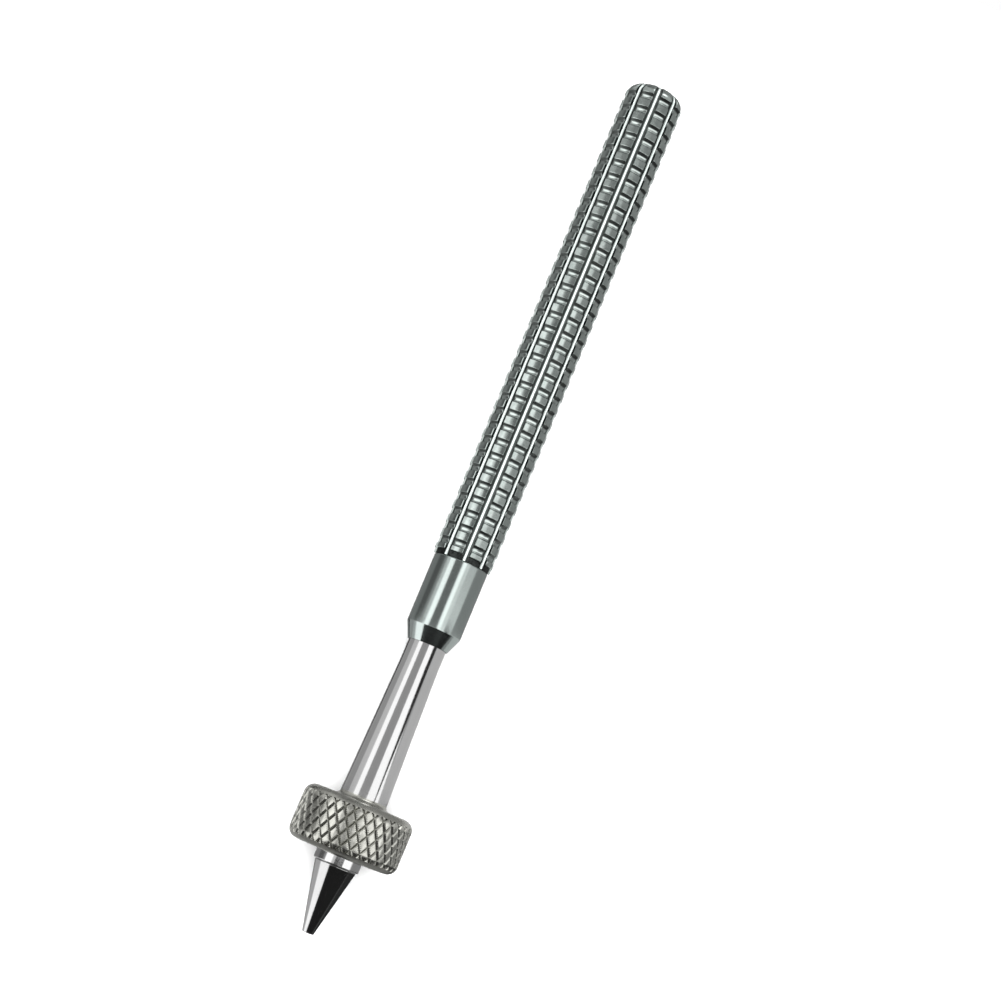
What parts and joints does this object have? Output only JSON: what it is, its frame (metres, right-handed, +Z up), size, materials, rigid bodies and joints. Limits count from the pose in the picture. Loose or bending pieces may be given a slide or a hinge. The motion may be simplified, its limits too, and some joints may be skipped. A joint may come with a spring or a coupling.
{
  "type": "center punch",
  "caption": "Slim spring-loaded center punch with a square-textured round grip, tapered neck, knurled ring and conical point, lying on its side.",
  "frame": {"origin": "centre of the flat tip of the point", "axes": "+X along the tool from the tip to the butt end, +Z up with the tool lying on its side, +Y completes the right-handed frame; one long rib of the grip lies on top"},
  "size_m": [0.15, 0.0184, 0.0184],
  "materials": {
    "satin_chrome": "satin",
    "bright_chrome": "polished",
    "knurled_steel": "satin",
    "tool_steel": "polished",
    "plain_steel": "satin",
    "spring_steel": "satin",
    "bronze": "satin",
    "seal_rubber": "matte",
    "fibre": "matte"
  },
  "bodies": {
    "handle": {"handle_grip": "satin_chrome", "front_collar": "bright_chrome", "wiper_ring": "seal_rubber", "guide_bush": "bronze", "buffer_washer": "fibre", "trip_sleeve": "plain_steel", "main_spring": "spring_steel", "spring_seat": "plain_steel", "preload_spacer": "plain_steel"},
    "plunger_carrier": {"return_spring": "spring_steel", "return_spring_washer": "plain_steel"},
    "spindle": {"plunger_spindle": "bright_chrome", "knurled_ring": "knurled_steel", "point_lock_nut": "bright_chrome", "punch_point": "tool_steel", "stop_collar": "plain_steel", "drive_pin": "tool_steel"},
    "striker": {"hammer": "tool_steel", "main_spring_washer": "plain_steel", "trip_spring": "spring_steel"},
    "trip_block": {"trip_block": "tool_steel"}
  },
  "joints": [
    {"name": "plunger_slide", "type": "slide", "parent": "handle", "child": "plunger_carrier", "axis": [1, 0, 0], "range_m": [0, 0.005], "stiffness_N_per_m": 400, "springref_m": -0.003},
    {"name": "spindle_spin", "type": "hinge", "parent": "plunger_carrier", "child": "spindle", "pos_m": [0.02, 0, 0], "axis": [1, 0, 0], "continuous": true},
    {"name": "hammer_slide", "type": "slide", "parent": "handle", "child": "striker", "axis": [1, 0, 0], "range_m": [0, 0.005], "stiffness_N_per_m": 1500, "springref_m": -0.003, "deforming": ["main_spring"]},
    {"name": "trip_block_slide", "type": "slide", "parent": "striker", "child": "trip_block", "axis": [0, 0, -1], "range_m": [0, 0.0011], "stiffness_N_per_m": 20, "springref_m": -0.0003, "deforming": ["trip_spring"]}
  ],
  "couplings": [
    {"joint": "hammer_slide", "follows": "plunger_slide", "ratio": 1},
    {"joint": "trip_block_slide", "follows": "plunger_slide", "ratio": 0.22}
  ]
}
